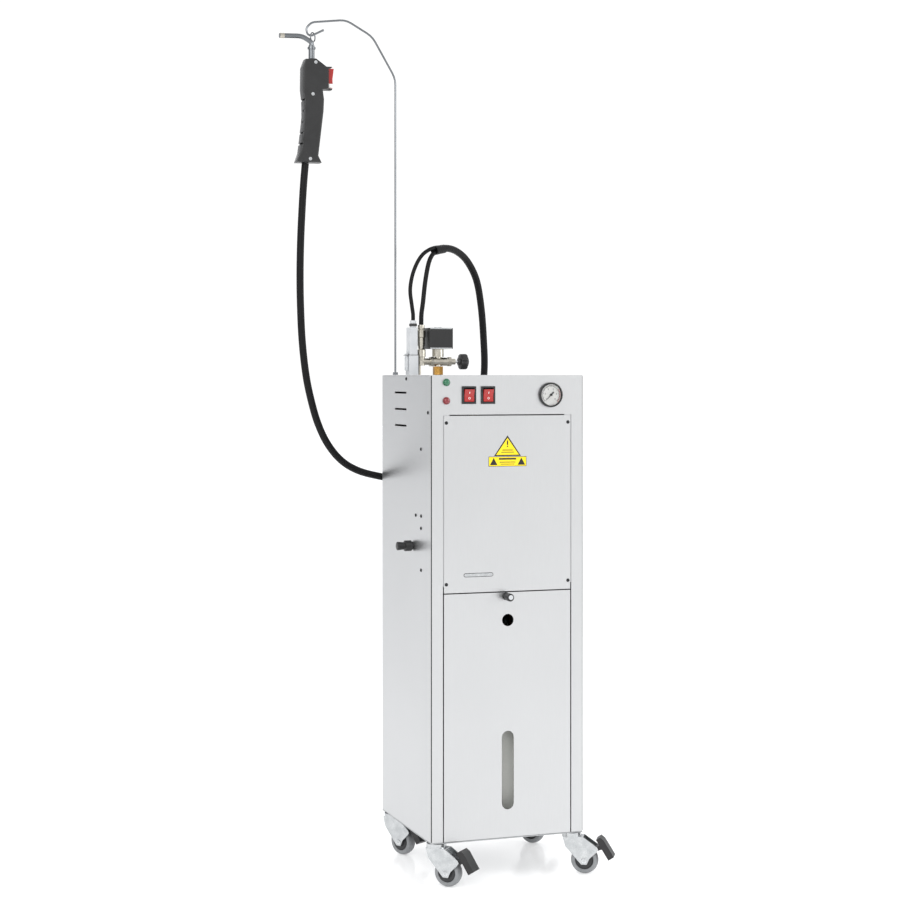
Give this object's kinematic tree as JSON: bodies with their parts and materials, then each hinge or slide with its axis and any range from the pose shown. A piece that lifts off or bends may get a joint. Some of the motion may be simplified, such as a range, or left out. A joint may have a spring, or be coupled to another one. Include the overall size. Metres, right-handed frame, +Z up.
{
  "type": "commercial steam cleaner",
  "caption": "Upright stainless steam cleaner on casters, with a pressure gauge, front door, top steam fittings, hose and a spray gun hung on a bent rod.",
  "frame": {"origin": "on the floor, in the middle of the object's box without its hose and cables", "axes": "+Z up, -Y out of the front door, +X to the right of someone facing the front"},
  "size_m": [0.5612, 0.3682, 1.573],
  "materials": {
    "cabinet_steel": "satin brushed stainless sheet, grain upright",
    "inner_steel": "plain mill finish sheet",
    "zinc": "bright zinc plate, faint variation",
    "chrome": "polished chrome plate",
    "brass": "machined brass, slightly dull",
    "copper": "copper tube, slightly oxidised",
    "black_plastic": "fine-textured black moulding",
    "grey_plastic": "fine-textured dark grey moulding",
    "white_plastic": "translucent white moulding",
    "red_plastic": "glossy translucent red moulding",
    "green_lens": "clear green lens",
    "red_lens": "clear red lens",
    "hose_rubber": "matt black rubber",
    "grey_tyre": "pale grey non-marking rubber"
  },
  "bodies": {
    "cabinet": {"base_tray": "inner_steel", "left_side_panel": "cabinet_steel", "right_side_panel": "cabinet_steel", "back_panel": "cabinet_steel", "top_panel": "cabinet_steel", "boiler_shelf": "inner_steel", "front_frame": "cabinet_steel", "upper_front_panel": "cabinet_steel", "green_lamp": "green_lens", "red_lamp": "red_lens", "boiler_switch_case": "black_plastic", "pump_switch_case": "black_plastic", "gauge_case": "black_plastic", "steam_outlet_nipple": "brass", "regulator_body": "brass", "solenoid_coil": "black_plastic", "hose_coupling": "chrome", "control_connector": "grey_plastic", "drain_fitting": "black_plastic", "boiler_tank": "zinc", "heating_element": "copper", "safety_valve": "brass", "control_box": "grey_plastic", "water_tank": "white_plastic", "feed_pump": "grey_plastic", "feed_pipe": "copper", "suction_tube": "white_plastic", "mains_gland": "black_plastic", "hanger_rod": "zinc", "gun_hose": "hose_rubber", "steam_branch": "hose_rubber", "cable_branch": "hose_rubber"},
    "door": {"lower_door": "cabinet_steel"},
    "knob": {"door_knob": "chrome"},
    "boiler_rocker": {"boiler_switch_rocker": "red_plastic"},
    "pump_rocker": {"pump_switch_rocker": "red_plastic"},
    "needle": {"gauge_needle": "black_plastic"},
    "stem": {"regulator_stem": "zinc"},
    "handwheel": {"regulator_handwheel": "black_plastic"},
    "plunger": {"solenoid_plunger": "chrome"},
    "lever": {"connector_lever": "grey_plastic"},
    "gun": {"gun_near_shell": "black_plastic", "gun_far_shell": "black_plastic", "spray_tube": "chrome", "spray_sleeve": "chrome", "hanging_eye": "zinc"},
    "gun_trigger": {"gun_switch": "red_plastic"},
    "cap": {"tank_cap": "black_plastic"},
    "front_left_swivel_body": {"front_left_fork": "zinc"},
    "front_left_wheel_body": {"front_left_wheel": "grey_tyre"},
    "front_left_pedal_body": {"front_left_pedal": "black_plastic"},
    "front_right_swivel_body": {"front_right_fork": "zinc"},
    "front_right_wheel_body": {"front_right_wheel": "grey_tyre"},
    "front_right_pedal_body": {"front_right_pedal": "black_plastic"},
    "rear_left_swivel_body": {"rear_left_fork": "zinc"},
    "rear_left_wheel_body": {"rear_left_wheel": "grey_tyre"},
    "rear_left_pedal_body": {"rear_left_pedal": "black_plastic"},
    "rear_right_swivel_body": {"rear_right_fork": "zinc"},
    "rear_right_wheel_body": {"rear_right_wheel": "grey_tyre"},
    "rear_right_pedal_body": {"rear_right_pedal": "black_plastic"}
  },
  "joints": [
    {"name": "door_swing", "type": "hinge", "parent": "cabinet", "child": "door", "pos_m": [0.0761, -0.1257, 0.079], "axis": [1, 0, 0], "range_deg": [0, 90]},
    {"name": "knob_turn", "type": "hinge", "parent": "door", "child": "knob", "pos_m": [0.0721, -0.1262, 0.509], "axis": [0, 1, 0], "range_deg": [0, 90]},
    {"name": "boiler_switch_rock", "type": "hinge", "parent": "cabinet", "child": "boiler_rocker", "pos_m": [0.0019, -0.1267, 0.8693], "axis": [-1, 0, 0], "range_deg": [0, 18]},
    {"name": "pump_switch_rock", "type": "hinge", "parent": "cabinet", "child": "pump_rocker", "pos_m": [0.0381, -0.1267, 0.8693], "axis": [-1, 0, 0], "range_deg": [0, 18]},
    {"name": "gauge_needle_turn", "type": "hinge", "parent": "cabinet", "child": "needle", "pos_m": [0.1583, -0.1277, 0.8693], "axis": [0, 1, 0], "range_deg": [0, 270]},
    {"name": "stem_travel", "type": "slide", "parent": "cabinet", "child": "stem", "axis": [1, 0, 0], "range_m": [0, 0.003]},
    {"name": "handwheel_turn", "type": "hinge", "parent": "stem", "child": "handwheel", "pos_m": [0.0431, 0.0488, 0.93], "axis": [1, 0, 0], "range_deg": [0, 720]},
    {"name": "plunger_lift", "type": "slide", "parent": "cabinet", "child": "plunger", "axis": [0, 0, 1], "range_m": [0, 0.003], "stiffness_N_per_m": 200},
    {"name": "lever_release", "type": "hinge", "parent": "cabinet", "child": "lever", "pos_m": [-0.05815, 0.0488, 0.918], "axis": [1, 0, 0], "range_deg": [0, 90]},
    {"name": "gun_unhook", "type": "slide", "parent": "cabinet", "child": "gun", "axis": [0.891, 0, 0.454], "range_m": [0, 0.03]},
    {"name": "gun_switch_press", "type": "hinge", "parent": "gun", "child": "gun_trigger", "pos_m": [-0.1879, 0.1258, 1.443], "axis": [0, -1, 0], "range_deg": [0, 6], "stiffness_Nm_per_rad": 0.2},
    {"name": "tank_cap_turn", "type": "hinge", "parent": "cabinet", "child": "cap", "pos_m": [0.0386, 0.0013, 0.4193], "axis": [0, 0, 1], "range_deg": [0, 360]},
    {"name": "front_left_swivel", "type": "hinge", "parent": "cabinet", "child": "front_left_swivel_body", "pos_m": [-0.0539, -0.1112, 0.0747], "axis": [0, 0, 1], "continuous": true},
    {"name": "front_left_roll", "type": "hinge", "parent": "front_left_swivel_body", "child": "front_left_wheel_body", "pos_m": [-0.03693, -0.12817, 0.025], "axis": [0.7071, 0.7071, 0], "continuous": true},
    {"name": "front_left_pedal_press", "type": "hinge", "parent": "front_left_swivel_body", "child": "front_left_pedal_body", "pos_m": [-0.02137, -0.14373, 0.046], "axis": [0.7071, 0.7071, 0], "range_deg": [0, 12]},
    {"name": "front_right_swivel", "type": "hinge", "parent": "cabinet", "child": "front_right_swivel_body", "pos_m": [0.2061, -0.1112, 0.0747], "axis": [0, 0, 1], "continuous": true},
    {"name": "front_right_roll", "type": "hinge", "parent": "front_right_swivel_body", "child": "front_right_wheel_body", "pos_m": [0.22689, -0.1232, 0.025], "axis": [0.5, 0.866, 0], "continuous": true},
    {"name": "front_right_pedal_press", "type": "hinge", "parent": "front_right_swivel_body", "child": "front_right_pedal_body", "pos_m": [0.24594, -0.1342, 0.046], "axis": [0.5, 0.866, 0], "range_deg": [0, 12]},
    {"name": "rear_left_swivel", "type": "hinge", "parent": "cabinet", "child": "rear_left_swivel_body", "pos_m": [-0.0539, 0.1388, 0.0747], "axis": [0, 0, 1], "continuous": true},
    {"name": "rear_left_roll", "type": "hinge", "parent": "rear_left_swivel_body", "child": "rear_left_wheel_body", "pos_m": [-0.0419, 0.11801, 0.025], "axis": [0.866, 0.5, 0], "continuous": true},
    {"name": "rear_left_pedal_press", "type": "hinge", "parent": "rear_left_swivel_body", "child": "rear_left_pedal_body", "pos_m": [-0.0309, 0.09896, 0.046], "axis": [0.866, 0.5, 0], "range_deg": [0, 12]},
    {"name": "rear_right_swivel", "type": "hinge", "parent": "cabinet", "child": "rear_right_swivel_body", "pos_m": [0.2061, 0.1388, 0.0747], "axis": [0, 0, 1], "continuous": true},
    {"name": "rear_right_roll", "type": "hinge", "parent": "rear_right_swivel_body", "child": "rear_right_wheel_body", "pos_m": [0.22153, 0.12041, 0.025], "axis": [0.766, 0.6428, 0], "continuous": true},
    {"name": "rear_right_pedal_press", "type": "hinge", "parent": "rear_right_swivel_body", "child": "rear_right_pedal_body", "pos_m": [0.23567, 0.10356, 0.046], "axis": [0.766, 0.6428, 0], "range_deg": [0, 12]}
  ],
  "couplings": [
    {"joint": "stem_travel", "follows": "handwheel_turn", "m_per_rad": 0.00023873}
  ]
}
